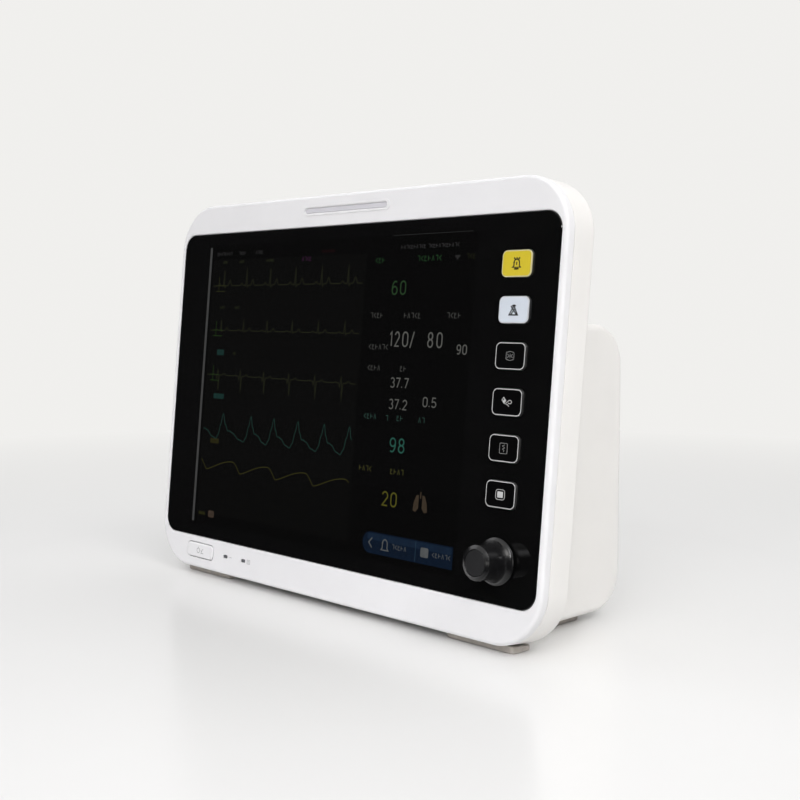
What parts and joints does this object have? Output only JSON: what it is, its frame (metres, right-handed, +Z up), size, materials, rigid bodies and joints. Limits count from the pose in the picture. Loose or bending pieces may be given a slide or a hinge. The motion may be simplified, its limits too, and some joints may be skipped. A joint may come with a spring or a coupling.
{
  "type": "patient monitor",
  "caption": "Bedside patient monitor: leaning black glass front with keys and a push-and-turn knob, white housing, folding handle, side sockets and rear mounting plate.",
  "frame": {"origin": "on the table, under the middle of the bounding box", "axes": "+X to the right of a person who faces the screen, +Y to the back, +Z up"},
  "size_m": [0.4136, 0.1595, 0.304],
  "materials": {
    "shell": "fine-textured white ABS",
    "bezel": "smooth satin white ABS",
    "glass": "back-printed black cover glass, mirror gloss",
    "display": "dark display module",
    "yellow": "satin yellow keycap",
    "white_key": "satin pale blue-white keycap",
    "black_key": "satin black keycap",
    "knob": "satin black knob",
    "lens": "translucent grey light bar",
    "light_pipe": "smoked light pipe",
    "board": "green solder mask",
    "steel": "zinc-plated sheet and turned steel",
    "dark": "black moulded plastic",
    "rubber": "dark rubber",
    "socket_green": "green connector shell",
    "socket_blue": "blue connector shell",
    "socket_grey": "grey connector shell",
    "hose": "clear-white silicone hose",
    "battery": "shrink-wrapped pack",
    "brass": "nickel-brass earth stud"
  },
  "bodies": {
    "housing": {"front_bezel": "bezel", "glass_panel": "glass", "glass_gasket": "dark", "lcd_module": "display", "chassis_plate": "steel", "keypad_board": "board", "encoder_body": "steel", "encoder_nut": "steel", "power_button_board": "board", "led_pipe_mains": "light_pipe", "led_pipe_battery": "light_pipe", "alarm_lens": "lens", "alarm_lamp_board": "board", "rear_cover": "shell", "cover_screw_1": "steel", "cover_screw_2": "steel", "cover_screw_3": "steel", "cover_screw_4": "steel", "handle_pin_left": "steel", "handle_pin_right": "steel", "foot_front_left": "rubber", "foot_front_right": "rubber", "foot_rear_left": "rubber", "foot_rear_right": "rubber", "socket_panel": "dark", "ecg_socket": "socket_green", "oxygen_socket": "socket_blue", "temperature_socket_1": "socket_grey", "temperature_socket_2": "socket_grey", "cuff_port": "steel", "mains_inlet": "dark", "earth_stud": "brass", "network_port": "steel", "usb_port": "steel", "port_board": "board", "mount_plate": "steel", "battery_bay": "dark", "battery_pack": "battery", "door_pin": "steel", "main_board": "board", "sensor_board": "board", "power_supply": "board", "cuff_pump": "steel", "cuff_valve": "dark", "air_hose": "hose", "speaker": "dark"},
    "key_alarm_pause": {"key_alarm_pause": "yellow"},
    "key_alarm_silence": {"key_alarm_silence": "white_key"},
    "key_freeze": {"key_freeze": "black_key"},
    "key_pressure_start": {"key_pressure_start": "black_key"},
    "key_record": {"key_record": "black_key"},
    "key_menu": {"key_menu": "black_key"},
    "power_button": {"power_button": "bezel"},
    "encoder_push": {"encoder_plunger": "steel"},
    "knob": {"encoder_shaft": "steel", "control_knob": "knob"},
    "handle": {"carry_handle": "shell"},
    "battery_door": {"battery_door": "shell"}
  },
  "joints": [
    {"name": "alarm_pause_press", "type": "slide", "parent": "housing", "child": "key_alarm_pause", "axis": [0, 0.9951, -0.0993], "range_m": [0, 0.0008], "stiffness_N_per_m": 900},
    {"name": "alarm_silence_press", "type": "slide", "parent": "housing", "child": "key_alarm_silence", "axis": [0, 0.9951, -0.0993], "range_m": [0, 0.0008], "stiffness_N_per_m": 900},
    {"name": "freeze_press", "type": "slide", "parent": "housing", "child": "key_freeze", "axis": [0, 0.9951, -0.0993], "range_m": [0, 0.0008], "stiffness_N_per_m": 900},
    {"name": "pressure_start_press", "type": "slide", "parent": "housing", "child": "key_pressure_start", "axis": [0, 0.9951, -0.0993], "range_m": [0, 0.0008], "stiffness_N_per_m": 900},
    {"name": "record_press", "type": "slide", "parent": "housing", "child": "key_record", "axis": [0, 0.9951, -0.0993], "range_m": [0, 0.0008], "stiffness_N_per_m": 900},
    {"name": "menu_press", "type": "slide", "parent": "housing", "child": "key_menu", "axis": [0, 0.9951, -0.0993], "range_m": [0, 0.0008], "stiffness_N_per_m": 900},
    {"name": "power_press", "type": "slide", "parent": "housing", "child": "power_button", "axis": [0, 0.9951, -0.0993], "range_m": [0, 0.001], "stiffness_N_per_m": 900},
    {"name": "knob_press", "type": "slide", "parent": "housing", "child": "encoder_push", "axis": [0, 0.9951, -0.0993], "range_m": [0, 0.0008], "stiffness_N_per_m": 1500},
    {"name": "knob_turn", "type": "hinge", "parent": "encoder_push", "child": "knob", "pos_m": [0.1688, -0.0582, 0.05904], "axis": [0, 0.9951, -0.0993], "continuous": true},
    {"name": "handle_lift", "type": "hinge", "parent": "housing", "child": "handle", "pos_m": [0, 0.04, 0.2018], "axis": [-1, 0, 0], "range_deg": [0, 95]},
    {"name": "battery_door_open", "type": "hinge", "parent": "housing", "child": "battery_door", "pos_m": [0.108, 0.0769, 0.0397], "axis": [-1, 0, 0], "range_deg": [0, 90]}
  ]
}
